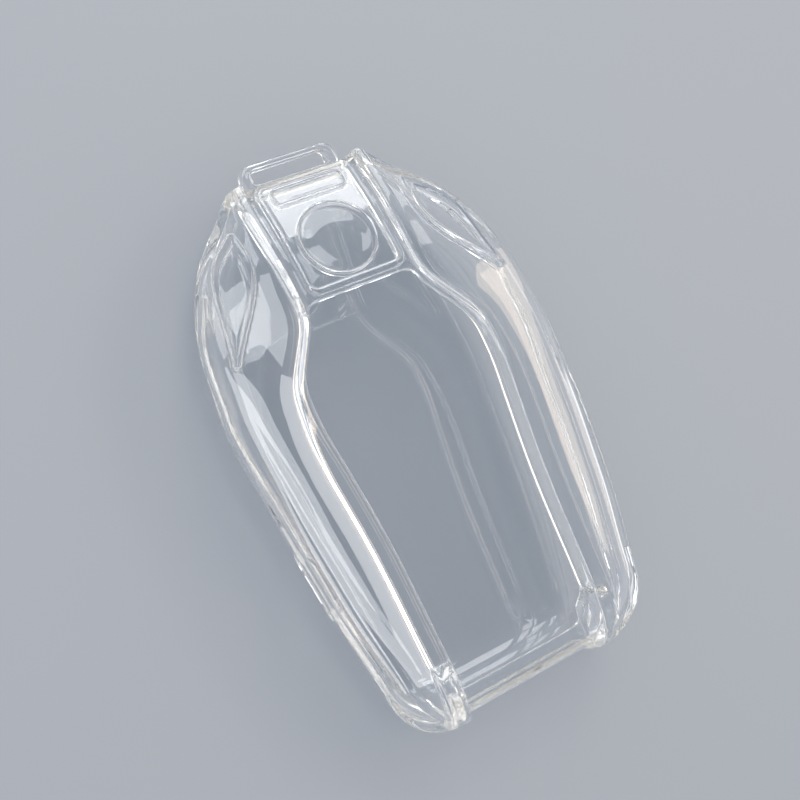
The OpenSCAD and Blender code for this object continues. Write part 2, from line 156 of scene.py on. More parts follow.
def through(table, t):
    """A smooth curve through the points of a table."""
    i = max([k for k in range(len(table) - 1) if t >= table[k][0]], default=0)
    slopes = []
    for k in (i, i + 1):
        a, b = table[max(k - 1, 0)], table[min(k + 1, len(table) - 1)]
        slopes.append((b[1] - a[1]) / (b[0] - a[0]))
    (start, low), (end, high) = table[i], table[i + 1]
    step = end - start
    u = (t - start) / step
    return ((2 * u ** 3 - 3 * u ** 2 + 1) * low + (u ** 3 - 2 * u ** 2 + u) * step * slopes[0]
            + (3 * u ** 2 - 2 * u ** 3) * high + (u ** 3 - u ** 2) * step * slopes[1])


def along(table, s):
    """The value of a table at s millimetres from the window end, averaged over a short stretch."""
    t = s / BODY_LEN
    reach = min(0.02, max(t, 0), max(1 - t, 0)) / 2
    return sum(through(table, t + reach * k) for k in (-2, -1, 0, 1, 2)) / 5


print("side share halfway:", round(along(SIDE_SHARES, BODY_LEN / 2), 3))

# %% [markdown]
# Each height and half width of the body is now one small function of s, the distance from the window end. The
# letter d is the depth under the outer surface: 0 gives the outside and the wall thickness gives the inside.
# With every curve written this way, both sides of the wall come from the same lines.

# %% Heights and widths of the body
def place_y(s, d):
    shift = d * (1 + END_RECESS / WALL)
    return Y_END + shift + s * (BODY_LEN - 2 * shift) / BODY_LEN


def place_s(y, d):
    shift = d * (1 + END_RECESS / WALL)
    return min(BODY_LEN, max(0, (y - Y_END - shift) * BODY_LEN / (BODY_LEN - 2 * shift)))


@functools.cache
def half_w(s):
    return (HALF_BODY_W * along(SIDE_SHARES, s) - CORNER_R * (1 - quarter(s, CORNER_R))
            - TIP_R * (1 - quarter(BODY_LEN - s, TIP_R)))


@functools.cache
def crest_z(s):
    return mix(SPLIT_H + NOSE_RISE, BODY_H * along(CREST_SHARES, s), quarter(s, NOSE_LEN))


@functools.cache
def back_z(s):
    return ((SPLIT_H - HEEL_DROP) * (1 - quarter(s, HEEL_LEN))
            + (SPLIT_H - TOE_DROP) * (1 - quarter(BODY_LEN - s, TOE_LEN)))


@functools.cache
def ridge_x(s):
    return HALF_BODY_W * along(RIDGE_SHARES, s)


@functools.cache
def ridge_out(s):
    width = RIDGE_W * mix(WIDE_RIDGE, 1, eased((s / BODY_LEN - 0.45) / 0.2))
    return min(ridge_x(s) + width, half_w(s) - LEAST_WING)


@functools.cache
def strip_z(s):
    low = SPLIT_H + BAR_RISE
    return max(low, mix(low, crest_z(s) - LEDGE_DROP, eased((s - WINDOW_END) / BAR_RAMP)))


def panel_z(s):
    return crest_z(s) - PANEL_DROP


def wing_top(s, d):
    return crest_z(s) - RIDGE_H - d


@functools.cache
def bulge_z(s, d):
    """Height of the widest line of the body."""
    return max(SPLIT_H + LEAST_LAP, mix(back_z(s) + d, wing_top(s, d), along(BULGE_SHARES, s)))


SHOULDER_S = 0.616 * BODY_LEN
print("half width at the shoulders:", round(half_w(SHOULDER_S), 2), "mm")


# %% [markdown]
# A cross-section runs from the middle of the front over the ledge, the ridge and the wing, past a soft
# crease, round the widest line and down to the seam. The wing and the side wall are parts of rounded boxes, a
# power of the circle's sine and cosine, because that gives a firm flank with a soft corner by one formula.

# %% Points round the body
CREASE_TURN, FULL_TURN = 60, 90
SEAM, RIM_FLAT, RIM_ROUND = 0.07, 0.35, 0.2
ROUND_STEPS = 6
COVE_SHARE, COVE_SLOPE = 0.5, 0.24


def rounded(points, reaches, steps=ROUND_STEPS):
    """The line through points, with each inner corner rounded over the reach given for it."""
    line = [points[0]]
    for before, corner, after, reach in zip(points, points[1:], points[2:], reaches):
        start = corner + (before - corner) * min(reach / max((before - corner).length, 1e-6), 0.48)
        end = corner + (after - corner) * min(reach / max((after - corner).length, 1e-6), 0.48)
        for i in range(steps + 1):
            u = i / steps
            line.append(start * (1 - u) ** 2 + corner * 2 * u * (1 - u) + end * u * u)
    line.append(points[-1])
    return line


def wide_at(s, d):
    return max(ridge_out(s) + LEAST_WING / 4, half_w(s) - d)


@functools.cache
def crease(s, d):
    """The place of the crease across the wing, as [x, z]."""
    start, wide = ridge_out(s), wide_at(s, d)
    x = max(mix(start, wide, LEAST_FLAT), wide - HALF_BODY_W * along(BAND_SHARES, s))
    return x, wing_top(s, d) - min(WING_FALL, 0.4 * (wing_top(s, d) - bulge_z(s, d)))


def wing_level(s, d, u):
    """Height of the wing from the ridge, at u = 0, to the crease. The outside meets the ridge in a cove."""
    crease_x, crease_z = crease(s, d)
    reach = COVE_SHARE * (crease_x - ridge_out(s))
    cove = 0 if d else COVE_SLOPE / 2 * reach * max(0, 1 - u / COVE_SHARE) ** 2
    return mix(wing_top(s, d), crease_z, u * u) + cove


def wing_point(s, d, turn):
    crease_x, crease_z = crease(s, d)
    if turn <= CREASE_TURN:
        u = turn / CREASE_TURN
        return Vector((mix(ridge_out(s), crease_x, u), wing_level(s, d, u)))
    a = math.radians((turn - CREASE_TURN) * FULL_TURN / (FULL_TURN - CREASE_TURN))
    return Vector((mix(crease_x, wide_at(s, d), math.sin(a) ** (2 / BAND_POWER)),
                   mix(bulge_z(s, d), crease_z, max(0, math.cos(a)) ** (2 / BAND_POWER))))


def under_point(s, d, turn):
    a = math.radians(turn)
    flat = half_w(s) * BACK_W_SHARE - d / 2
    return Vector((mix(flat, wide_at(s, d), max(0, math.cos(a)) ** (2 / UNDER_POWER)),
                   mix(bulge_z(s, d), back_z(s) + d, math.sin(a) ** (2 / UNDER_POWER))))


def split_turn(s, d):
    bulge = bulge_z(s, d)
    share = ((bulge - SPLIT_H) / (bulge - back_z(s) - d)) ** (UNDER_POWER / 2)
    return math.degrees(math.asin(share))


def split_point(s, d):
    return under_point(s, d, split_turn(s, d))


print("crease at the shoulders:", [round(v, 2) for v in crease(SHOULDER_S, 0)], "mm")

# %% [markdown]
# The front's own cross-section is an open line for the outside and another for the inside. A mould can't make
# a sharp corner, so each corner is rounded, and the small rounds on both edges of a ridge are what draws it
# as a pair of bright lines.

# %% Cross-section of the front
STRIP_COLUMNS, LAP_STEPS = 8, 6
WING_TURNS = [4 * i for i in range(1, 16)] + [CREASE_TURN + 2.5 * i for i in range(1, 13)]
FOOT_ROUND, COVE_ROUND, INNER_ROUND = 0.25, 0.35, 0.6


def front_outer(s):
    """Half of the front's outer cross-section, from the middle to the seam."""
    x, x0, top = ridge_x(s), ridge_out(s), crest_z(s)
    foot = Vector((x, strip_z(s)))
    # The ridge leans in and is rounded, both in step with its width where it is narrow.
    lean = min(0.3, 0.1 * (x0 - x))
    round_in = min(0.6, 0.24 * (x0 - x))
    ridge = rounded([Vector((0, strip_z(s))), foot, Vector((x + lean, top)), Vector((x0 - lean, top)),
                     Vector((x0, wing_level(s, 0, 0))), wing_point(s, 0, WING_TURNS[0])],
                    [FOOT_ROUND, round_in, round_in, COVE_ROUND])
    strip = [Vector((ridge[1].x * i / STRIP_COLUMNS, strip_z(s))) for i in range(STRIP_COLUMNS)]
    end = split_turn(s, 0)
    lap = [under_point(s, 0, end * i / LAP_STEPS) for i in range(1, LAP_STEPS)]
    seam = split_point(s, 0) + Vector((0, SEAM))
    rim = rounded([lap[-1], seam, seam - Vector((RIM_FLAT, 0))], [RIM_ROUND])[1:]
    return strip + ridge[1:-1] + [wing_point(s, 0, turn) for turn in WING_TURNS] + lap + rim


def front_inner(s):
    """Half of the front's inner cross-section."""
    foot = Vector((ridge_x(s), strip_z(s) - WALL))
    ridge = rounded([Vector((0, foot.y)), foot, Vector((ridge_out(s), wing_top(s, WALL))),
                     wing_point(s, WALL, WING_TURNS[0])], [INNER_ROUND, INNER_ROUND])
    strip = [Vector((ridge[1].x * i / STRIP_COLUMNS, foot.y)) for i in range(STRIP_COLUMNS)]
    end = split_turn(s, WALL)
    lap = [under_point(s, WALL, end * i / LAP_STEPS) for i in range(1, LAP_STEPS)]
    seam = split_point(s, WALL) + Vector((0, SEAM))
    return strip + ridge[1:-1] + [wing_point(s, WALL, turn) for turn in WING_TURNS] + lap + [seam]


print("half of the front's section:", len(front_outer(SHOULDER_S)), "points outside,",
      len(front_inner(SHOULDER_S)), "inside")

# %% [markdown]
# The rear is plainer: a flat back and side walls that lean out up to the seam. Its rim has the same small
# round as the front's, so the two together show the seam as a fine groove along each side.

# %% Cross-section of the rear
BACK_COLUMNS, UNDER_STEPS = 10, 22


def rear_half(s, d):
    """Half of the rear's cross-section, from the middle of the back up to the seam."""
    edge = under_point(s, d, FULL_TURN)
    back = [Vector((edge.x * i / BACK_COLUMNS, edge.y)) for i in range(BACK_COLUMNS)]
    end = split_turn(s, d)
    side = [under_point(s, d, mix(FULL_TURN, end, eased(i / UNDER_STEPS) ** 0.8)) for i in range(UNDER_STEPS)]
    seam = split_point(s, d) - Vector((0, SEAM))
    if d:
        return back + side + [seam]
    return back + side + rounded([side[-1], seam, seam - Vector((RIM_FLAT, 0))], [RIM_ROUND])[1:]


def across(half, y):
    """A whole cross-section in space, from the left rim to the right rim."""
    return [Vector((-p.x, y, p.y)) for p in half[:0:-1]] + [Vector((p.x, y, p.y)) for p in half]


print("half of the rear's section:", len(rear_half(SHOULDER_S, 0)), "points outside")

# %% [markdown]
# A moulding looks smooth along its length only if its cross-sections stand close where the outline turns.
# Both ends are quarter ellipses, so the sections there stand at equal turns, and the long middle has equal
# steps. One list of places serves both shells, so their rims meet point for point.

# %% Places of the cross-sections
END_STEPS, MID_STEPS = 24, 230
STATIONS = ([CORNER_R * (1 - math.cos(math.radians(FULL_TURN * i / END_STEPS))) for i in range(END_STEPS)]
            + [mix(CORNER_R, BODY_LEN - TOE_LEN, i / MID_STEPS) for i in range(MID_STEPS)]
            + [BODY_LEN - TOE_LEN * (1 - math.cos(math.radians(FULL_TURN * i / END_STEPS)))
               for i in range(END_STEPS, -1, -1)])
print("cross-sections:", len(STATIONS))


# %% [markdown]
# A shell is one closed skin: the outer cross-sections, the inner ones, a flat wall at each end and a rim on
# the seam that joins them. Everything is built in millimetres and turned to metres at the end, because the
# cutting that follows is more exact with larger numbers.

# %% The two shells
def new_piece(name, points, faces):
    """An object from points in millimetres, with its faces turned outwards."""
    mesh = bpy.data.meshes.new(name)
    mesh.from_pydata([tuple(p) for p in points], [], faces)
    work = bmesh.new()
    work.from_mesh(mesh)
    bmesh.ops.recalc_face_normals(work, faces=work.faces)
    if work.calc_volume(signed=True) < 0:
        bmesh.ops.reverse_faces(work, faces=work.faces)
    work.to_mesh(mesh)
    work.free()
    piece = bpy.data.objects.new(name, mesh)
    bpy.context.scene.collection.objects.link(piece)
    return piece


def shell_skin(name, outer, inner):
    """A closed shell from rings of outer and inner cross-sections."""
    m, n, k = len(outer), len(outer[0]), len(inner[0])
    base, last_out, last_in = m * n, m * n - n, m * n + m * k - k
    faces = [(i * n + j, i * n + j + 1, i * n + n + j + 1, i * n + n + j)
             for i in range(m - 1) for j in range(n - 1)]
    faces += [(base + i * k + j, base + i * k + k + j, base + i * k + k + j + 1, base + i * k + j + 1)
              for i in range(m - 1) for j in range(k - 1)]
    for i in range(m - 1):
        a, b = i * n, base + i * k
        faces += [(a, a + n, b + k, b), (a + n - 1, b + k - 1, b + 2 * k - 1, a + 2 * n - 1)]
    faces += [tuple(range(n)), tuple(range(last_out, last_out + n)), tuple(range(base, base + k)),
              tuple(range(last_in, last_in + k)), (0, base, base + k - 1, n - 1),
              (last_out, last_out + n - 1, last_in + k - 1, last_in)]
    return new_piece(name, [p for ring in outer + inner for p in ring], faces)


front = shell_skin("front_moulding", [across(front_outer(s), place_y(s, 0)) for s in STATIONS],
                   [across(front_inner(s), place_y(s, WALL)) for s in STATIONS])
rear = shell_skin("rear_moulding", [across(rear_half(s, 0), place_y(s, 0)) for s in STATIONS],
                  [across(rear_half(s, WALL), place_y(s, WALL)) for s in STATIONS])
print("front faces:", len(front.data.polygons), "rear faces:", len(rear.data.polygons))

# %% [markdown]
# Pads, openings and the raised panel all follow the curved front. Each is drawn as an outline with a
# direction outwards at every point, and lofted through rings: each ring is the outline moved out by an
# offset, at a level measured from the outer or the inner surface under it.

# %% Outlines of boxes and circles
def fan(centre, radius, start, end, steps):
    """Points and outward directions round part of a circle."""
    turns = [math.radians(mix(start, end, i / steps)) for i in range(steps + 1)]
    ways = [Vector((math.cos(a), math.sin(a))) for a in turns]
    return [(centre + way * radius, way) for way in ways]


def between(line, steps):
    """The same outline with extra points on its long sides."""
    out = []
    for (p, n), (q, m) in zip(line, line[1:] + line[:1]):
        parts = steps if (q - p).length > 1 else 1
        out += [(p.lerp(q, i / parts), n.lerp(m, i / parts).normalized()) for i in range(parts)]
    return out


def box_outline(width, length, radius, steps=8):
    x, y = width / 2 - radius, length / 2 - radius
    corners = [(Vector((x, -y)), -90), (Vector((x, y)), 0), (Vector((-x, y)), 90), (Vector((-x, -y)), 180)]
    return between([p for c, a in corners for p in fan(c, radius, a, a + 90, steps)], 10)


def circle_outline(diameter):
    return fan(Vector((0, 0)), diameter / 2, 0, 360, 96)[:-1]


print("round outline:", len(circle_outline(1)), "points")

# %% [markdown]
# The two side pads are leaves: pointed ovals with drawn-out tips, widest above their middle. A plain ellipse
# has blunt ends and two arcs have a hard point, so the half width is a power of a cosine, and a small skew of
# the angle moves the widest place up.

# %% Outline of the leaf pads
LEAF_POWER, LEAF_SKEW = 1.08, 0.28


def leaf_outline(length, width, tip, steps=48):
    """A leaf with drawn-out, rounded tips, widest a little nearer to its upper tip."""
    half, edge = [], width / 2 - tip
    for i in range(steps + 1):
        t = 2 * i / steps - 1
        a = (t - LEAF_SKEW * (1 - t * t)) * math.pi / 2
        open_to = max(0, math.cos(a))
        slope = (-edge * LEAF_POWER * open_to ** (LEAF_POWER - 1) * math.sin(a)
                 * math.pi / 2 * (1 + 2 * LEAF_SKEW * t))
        out = Vector((length / 2 - tip, -slope)).normalized()
        half.append((Vector((edge * open_to ** LEAF_POWER, (length / 2 - tip) * t)) + out * tip, out))
    top, low = Vector((0, length / 2 - tip)), Vector((0, tip - length / 2))
    other = [(Vector((-p.x, p.y)), Vector((-n.x, n.y))) for p, n in reversed(half)]
    return half[:-1] + fan(top, tip, 0, 180, 10) + other[1:-1] + fan(low, tip, 180, 360, 10)[:-1]


print("leaf outline:", len(leaf_outline(23, 6.6, 0.5)), "points")

# %% [markdown]
# Pads and openings follow a wall that curves in two directions. A shrinkwrap modifier could press them onto
# it, but the wall is known as a formula, so each point moves along the pad's direction until it lies at the
# formula's height. That is exact, and it works on the inside of the wall as well.

# %% Surfaces that the rings follow
def wing_height(x, y, d):
    """Height of the wing, of its outer surface at d = 0 and of its inner one at d = the wall."""
    s, x = place_s(y, d), abs(x)
    crease_x, crease_z = crease(s, d)
    if x <= crease_x:
        return wing_level(s, d, max(0, (x - ridge_out(s)) / (crease_x - ridge_out(s))))
    u = min(1, (x - crease_x) / (wide_at(s, d) - crease_x))
    return mix(bulge_z(s, d), crease_z, (1 - u ** BAND_POWER) ** (1 / BAND_POWER))


def strip_height(x, y, d):
    return strip_z(place_s(y, d)) - d


def panel_height(x, y, d):
    return panel_z(min(BODY_LEN, max(0, y - Y_END))) - d


# A ring moves along its direction until it lies on the surface, and this many steps bring it there.
FIT_STEPS = 8


def on_surface(place, out, height, outline, rows):
    """Rings of the outline round a place, one for each row of (offset, side, level, share).

    The side is 0 for the outer surface, 1 for the inner one and None for a flat ring at that height,
    and the share draws a ring in towards the middle."""
    turn = Vector((0, 0, 1)).rotation_difference(out)
    u_axis, v_axis = turn @ Vector((1, 0, 0)), turn @ Vector((0, 1, 0))
    rings = []
    for offset, side, level, share in rows:
        ring = []
        for p, n in outline:
            flat = (p + n * offset) * share
            foot = place + u_axis * flat.x + v_axis * flat.y
            rise = 0
            for _ in range(FIT_STEPS if side is not None else 0):
                at = foot + out * rise
                rise -= at.z - height(at.x, at.y, WALL * side)
            ring.append(foot + out * (rise + level))
        rings.append(ring)
    return rings


def turned(outline, degrees):
    turn = Matrix.Rotation(math.radians(degrees), 2)
    return [(turn @ p, turn @ n) for p, n in outline]


def edge_arc(radius, start=0, end=90, steps=5):
    """Offsets and levels of a rounded edge, from the wall up to the surface."""
    angles = [math.radians(mix(start, end, i / steps)) for i in range(steps + 1)]
    return [(radius * (1 - math.cos(a)), radius * (math.sin(a) - 1)) for a in angles]


print("height of the wing beside the panel:", round(wing_height(21, 27, 0), 2), "mm")

# %% [markdown]
# An opening in a thin wall is never sharp: the mould gives both its edges a small round. The cutter has that
# round in reverse. It is as narrow as the opening in the middle of the wall and flares out at the surfaces.
# Each cutter is a closed loft, and Blender's manifold solver cuts with it, which keeps both skins closed.

# %% Cutters with flared edges
def loft(name, rings, around=False):
    """A closed skin through rings of equal count, which joins its own start if it runs around."""
    n, m = len(rings[0]), len(rings)
    spans = range(m) if around else range(m - 1)
    faces = [(i * n + j, i * n + (j + 1) % n, (i + 1) % m * n + (j + 1) % n, (i + 1) % m * n + j)
             for i in spans for j in range(n)]
    if not around:
        faces += [tuple(range(n)), tuple(range(m * n - n, m * n))]
    return new_piece(name, [p for ring in rings for p in ring], faces)


def cut(piece, operation, *tools):
    """Joins the tools to the piece or cuts them from it, one after the other, and keeps the result."""
    for tool in tools:
        modifier = piece.modifiers.new("cut", "BOOLEAN")
        modifier.operation, modifier.solver, modifier.object = operation, "MANIFOLD", tool
    bpy.context.view_layer.update()
    result = bpy.data.meshes.new_from_object(piece.evaluated_get(bpy.context.evaluated_depsgraph_get()))
    piece.modifiers.clear()
    piece.data = result
    for tool in tools:
        bpy.data.objects.remove(tool)
    return piece


PAD_GAP, PAD_ROUNDS = 0.15, (0.3, 0.12)
# A cut round stops at CUT_TURN degrees and runs out over the surface, so that it leaves no feather edge.
CUT_TURN, FLARE, FLARE_RISE, REACH_IN, REACH_OUT = 72, 2.2, 0.12, 1.2, 1.6


def opening_rows(gap, outer_round, inner_round):
    """Rows of a cutter, from under the inner surface to above the outer one."""
    inner_flare, outer_flare = gap + inner_round * FLARE, gap + outer_round * FLARE
    rows = [(inner_flare, 1, -REACH_IN, 1), (inner_flare, 1, -FLARE_RISE, 1)]
    rows += [(gap + o, 1, -level, 1) for o, level in reversed(edge_arc(inner_round, 0, CUT_TURN))]
    rows += [(gap + o, 0, level, 1) for o, level in edge_arc(outer_round, 0, CUT_TURN)]
    return rows + [(outer_flare, 0, FLARE_RISE, 1), (outer_flare, 0, REACH_OUT, 1)]


print("rows of a pad's cutter:", len(opening_rows(PAD_GAP, *PAD_ROUNDS)))

# %% [markdown]
# The raised panel carries two of the pads. It is a hollow block on the front wall with a rounded rim, and its
# face lies a little below the rim, which gives the panel its double bright line. The block is joined to the
# front and then hollowed from below, because a moulding cools without dents only where its wall is thin.

# %% The raised panel
PANEL_FROM, PANEL_TO = BODY_LEN - END_RECESS - PANEL_LEN, BODY_LEN - END_RECESS
PANEL_MIDDLE = Vector((0, Y_END + (PANEL_FROM + PANEL_TO) / 2, 0))
UP = Vector((0, 0, 1))
PANEL_ROUND, HOLLOW_WALL, HOLLOW_ROUND = 0.45, 0.8, 0.4
# Behind its rim the panel falls to its face in these steps, each an offset and a level.
FACE_STEPS = ((-0.8, 0), (-1.0, -0.05), (-1.2, -0.12), (-1.4, -0.15))
RING_SHARES = (0.8, 0.6, 0.4, 0.2)


def raised_panel():
    """The panel as a block with a rounded rim and a face that lies a little below the rim."""
    outline = box_outline(PANEL_W, PANEL_LEN, PANEL_R)
    sunk = PANEL_DROP - LEDGE_DROP - 0.5
    rows = [(0, 0, sunk, share) for share in (*reversed(RING_SHARES), 1)]
    rows += [(-o, 0, level, 1) for o, level in edge_arc(PANEL_ROUND)]
    rows += [(offset, 0, level, 1) for offset, level in FACE_STEPS]
    rows += [(FACE_STEPS[-1][0], 0, FACE_STEPS[-1][1], share) for share in RING_SHARES]
    return loft("panel_block", on_surface(PANEL_MIDDLE, UP, panel_height, outline, rows))


def hollow_cutter():
    outline = box_outline(PANEL_W - 2 * HOLLOW_WALL, PANEL_LEN - 2 * HOLLOW_WALL, PANEL_R - HOLLOW_WALL / 2)
    rows = [(0, 0, PANEL_DROP - LEDGE_DROP - WALL - 0.6, 1)]
    rows += [(-o, 0, level - WALL, 1) for o, level in edge_arc(HOLLOW_ROUND)]
    rows += [(-HOLLOW_ROUND, 0, -WALL, share) for share in RING_SHARES]
    return loft("hollow", on_surface(PANEL_MIDDLE, UP, panel_height, outline, rows))


print("panel: from", round(PANEL_FROM, 1), "to", round(PANEL_TO, 1), "mm")

# %% [markdown]
# The display window is open. It follows the ridges at the distance of a narrow ledge. The body's two ends are
# trimmed by bars: the window end to a low step, and the key-ring end to the panel's height.

# %% The window and the ends
WINDOW_STEPS, CORNER_ROOM, CORNER_STEPS, WINDOW_ROUNDS = 60, 3, 10, (0.26, 0.4)


def window_cutter():
    """The window, between the ridges and drawn in by the ledge, with round corners."""
    low, high = WINDOW_END, PANEL_FROM - LEDGE_W
    places = [mix(low + CORNER_ROOM, high - CORNER_ROOM, i / WINDOW_STEPS) for i in range(WINDOW_STEPS + 1)]
    side = [Vector((ridge_x(s) - LEDGE_W, Y_END + s)) for s in [low] + places + [high]]
    first, last = Vector((0, side[0].y)), Vector((0, side[-1].y))
    half = rounded([first, side[0], side[1]], [WINDOW_R], CORNER_STEPS)[:-1] + side[1:-1]
    half += rounded([side[-2], side[-1], last], [WINDOW_R], CORNER_STEPS)[1:]
    whole = half + [Vector((-p.x, p.y)) for p in half[-2:0:-1]]
    outline = []
    for i, p in enumerate(whole):
        way = (whole[(i + 1) % len(whole)] - whole[i - 1]).normalized()
        outline.append((p, Vector((way.y, -way.x))))
    rows = opening_rows(0, *WINDOW_ROUNDS)
    rows = [(rows[0][0], None, SPLIT_H, 1)] + rows[1:-1] + [(rows[-1][0], None, BODY_H + 2, 1)]
    return loft("window", on_surface(Vector((0, 0, 0)), UP, strip_height, outline, rows))


def end_cutter(x, rows):
    """A bar across one end of the body. Its rows give the corners of its outline, as (y, z)."""
    return loft("end_bar", [[Vector((side * x, y, z)) for y, z in rows] for side in (-1, 1)])


BEYOND, UNDER_ALL, OVER_ALL = 3, -1, BODY_H + 4


def end_rows(start, inward, top, radius=0.6):
    """Outline of the bar beyond an end wall, with the rounded top edge of the wall left standing."""
    y = Y_END + start
    far, near = y - inward * BEYOND, y + inward * 2 * radius
    rows = [(far, UNDER_ALL), (y, UNDER_ALL)]
    rows += [(y + inward * o, top + level) for o, level in edge_arc(radius, 0, CUT_TURN)]
    return rows + [(near, top + 0.18), (near, OVER_ALL), (far, OVER_ALL)]


# The front's window end has a small step: its lower part stands BAR_STEP further out than its top.
BAR_STEP, REAR_PROUD = 0.3, 0.35
BAR_TOP = end_rows(END_RECESS + BAR_STEP, 1, SPLIT_H + BAR_RISE, 0.5)
LOW_END = (ridge_x(0) - LEAST_WING / 2, [(y - BAR_STEP if z < 0 else y, z) for y, z in BAR_TOP[:2]]
           + [(Y_END + END_RECESS, SPLIT_H + 0.8), (Y_END + END_RECESS + 0.1, SPLIT_H + 1.05),
              (Y_END + END_RECESS + BAR_STEP, SPLIT_H + 1.2)] + BAR_TOP[2:])
REAR_LOW_END = (LOW_END[0], end_rows(END_RECESS - REAR_PROUD, 1, SPLIT_H - SEAM, 0.4))
HIGH_END = (ridge_x(BODY_LEN) - LEAST_WING / 2, end_rows(PANEL_TO, -1, panel_z(PANEL_TO), 0.45))
print("window: from", WINDOW_END, "to", round(PANEL_FROM - LEDGE_W, 1), "mm")

# %% [markdown]
# What holds the shells together is a tongue along each side of the rear, which stands in a groove inside the
# front. Both are the same bar along the seam, once a little wider and once a little narrower. Through clear
# plastic they show as the fine parallel lines along the sides.

# %% Tongue and groove
TONGUE_SHARES, RAIL_STEPS = (0.14, 0.84), 210
# Each bar is given by how far its outer and inner side stand in from the seam line, and by its two heights.
TONGUE = (0.6, 1.1, SPLIT_H - 0.5, SPLIT_H + 1.4)
GROOVE = (0.5, 1.7, SPLIT_H - 1, SPLIT_H + 1.5)


def rail(name, outside, inside, low, high):
    """A bar along each side wall, between two distances in from the seam line."""
    bars = []
    for side in (-1, 1):
        rings = []
        for i in range(RAIL_STEPS + 1):
            s = BODY_LEN * mix(*TONGUE_SHARES, i / RAIL_STEPS)
            x, y = split_point(s, 0).x, Y_END + s
            rings.append([Vector((side * (x - w), y, z)) for w, z in
                          ((inside, low), (inside, high), (outside, high), (outside, low))])
        bars.append(loft(name, rings))
    return bars


print("tongue: ends at", [round(BODY_LEN * share, 1) for share in TONGUE_SHARES], "mm")

# %% [markdown]
# The front now gets its panel, and then the window, the hollow under the panel, the two trimmed ends and the
# grooves are cut. The panel comes first, so that the hollow goes through the panel and the wall under it in
# one cut.

# %% Join the panel and cut the front
cut(front, "UNION", raised_panel())
cut(front, "DIFFERENCE", window_cutter(), hollow_cutter(), end_cutter(*LOW_END), end_cutter(*HIGH_END),
    *rail("rebate", *GROOVE))
print("front faces after the first cuts:", len(front.data.polygons))

# %% [markdown]
# A thumb presses the fob's buttons through four pads. Each has a thin lip under the wall that keeps it in its
# opening, a rounded top edge and a slightly dished face. The leaf pads also have one shallow step near their
# rim, which the photograph shows as a second line inside the outline.

# %% Pads
LOCK_D, UNLOCK_W, UNLOCK_LEN, UNLOCK_R = 13.2, 13.4, 3.2, 1
LEAF_LEN, LEAF_W, LEAF_RISE, LEAF_TURN = 23, 6.6, 0.5, 23.5
LIP_W, LIP_T, LIP_GAP = 0.5, 0.4, 0.05
# Each pad's place, its direction outwards and the surface that it stands in.
SPOTS = {"lock": (Vector((0, 31.25, 15.569)), Vector((0, 0.191268, 0.981538)).normalized(), panel_height),
         "unlock": (Vector((0, 41.05, 13.077)), Vector((0, 0.280668, 0.959805)).normalized(), panel_height),
         "left": (Vector((-21.0, 27.116, 15.453)), Vector((-0.085941, 0.14004, 0.986409)).normalized(),
                  wing_height),
         "right": (Vector((21.0, 27.116, 15.453)), Vector((0.085941, 0.14004, 0.986409)).normalized(),
                   wing_height)}
PAD_SHARES = (0.88, 0.76, 0.64, 0.52, 0.4, 0.28, 0.16, 0.04)
LEAF_STEPS, STEP_RUN, STEP_FALL = (0.82,), 0.03, 0.18


def pad_rows(rise, top_round, dish, steps=()):
    """Rows of a pad, from the middle of its underside round the lip and over the rounded top.

    Each step, as a share of the outline, lowers what is inside it a little."""
    under = -LIP_GAP - LIP_T
    rows = [(LIP_W - 0.1, 1, under, share) for share in reversed(PAD_SHARES)]
    rows += [(LIP_W - 0.1, 1, under, 1), (LIP_W, 1, under + 0.1, 1), (LIP_W, 1, -LIP_GAP - 0.1, 1),
             (LIP_W - 0.1, 1, -LIP_GAP, 1), (0.08, 1, -LIP_GAP, 1), (0, 1, 0.05, 1)]
    rows += [(-o, 0, rise + level, 1) for o, level in edge_arc(top_round)]
    step_shares = [step + k * STEP_RUN for step in steps for k in (-1, -0.4, 0.4, 1)]
    shares = sorted([*PAD_SHARES, *step_shares], reverse=True)
    for share in shares:
        fall = sum(STEP_FALL * eased((step + STEP_RUN - share) / (2 * STEP_RUN)) for step in steps)
        rows.append((-top_round, 0, rise - fall - dish * eased((1 - share) / 0.45), share))
    return rows


OUTLINES = {"lock": circle_outline(LOCK_D), "unlock": box_outline(UNLOCK_W, UNLOCK_LEN, UNLOCK_R),
            "right": turned(leaf_outline(LEAF_LEN, LEAF_W, 0.5), LEAF_TURN),
            "left": turned(leaf_outline(LEAF_LEN, LEAF_W, 0.5), -LEAF_TURN)}
# Each pad's rise over the wall, the round on its top edge, the depth of its dish and its steps.
FORMS = {"lock": (-0.1, 0.3, 0.15), "unlock": (-0.1, 0.3, 0.05),
         "left": (LEAF_RISE, 0.4, 0.1, LEAF_STEPS), "right": (LEAF_RISE, 0.4, 0.1, LEAF_STEPS)}
pads = {}
for name, spot in SPOTS.items():
    pads[name] = loft(name + "_pad_moulding", on_surface(*spot, OUTLINES[name], pad_rows(*FORMS[name])))
print("pads:", sorted(pads))

# %% [markdown]
# Each pad stands in its own opening with a thin gap all round, so that it can sink without touching the wall.
# The cutter has the pad's own outline, made wider by the gap, so the two always fit.

# %% Openings for the pads
for name, spot in SPOTS.items():
    rows = opening_rows(PAD_GAP, *PAD_ROUNDS)
    cut(front, "DIFFERENCE", loft(name + "_opening", on_surface(*spot, OUTLINES[name], rows)))
print("front faces after the pad openings:", len(front.data.polygons))

# %% [markdown]
# The charging port is a slot with round ends on the left side wall, half in the front and half in the rear. A
# raised rim runs round it. The rim is drawn once as a closed loop on the curved wall and parted at the seam.

# %% The charging port
PORT_LEN, PORT_H, PORT_S = 10.6, 4.8, 0.315 * BODY_LEN
PORT_MIDDLE = Vector((Y_END + PORT_S, SPLIT_H + 0.3))


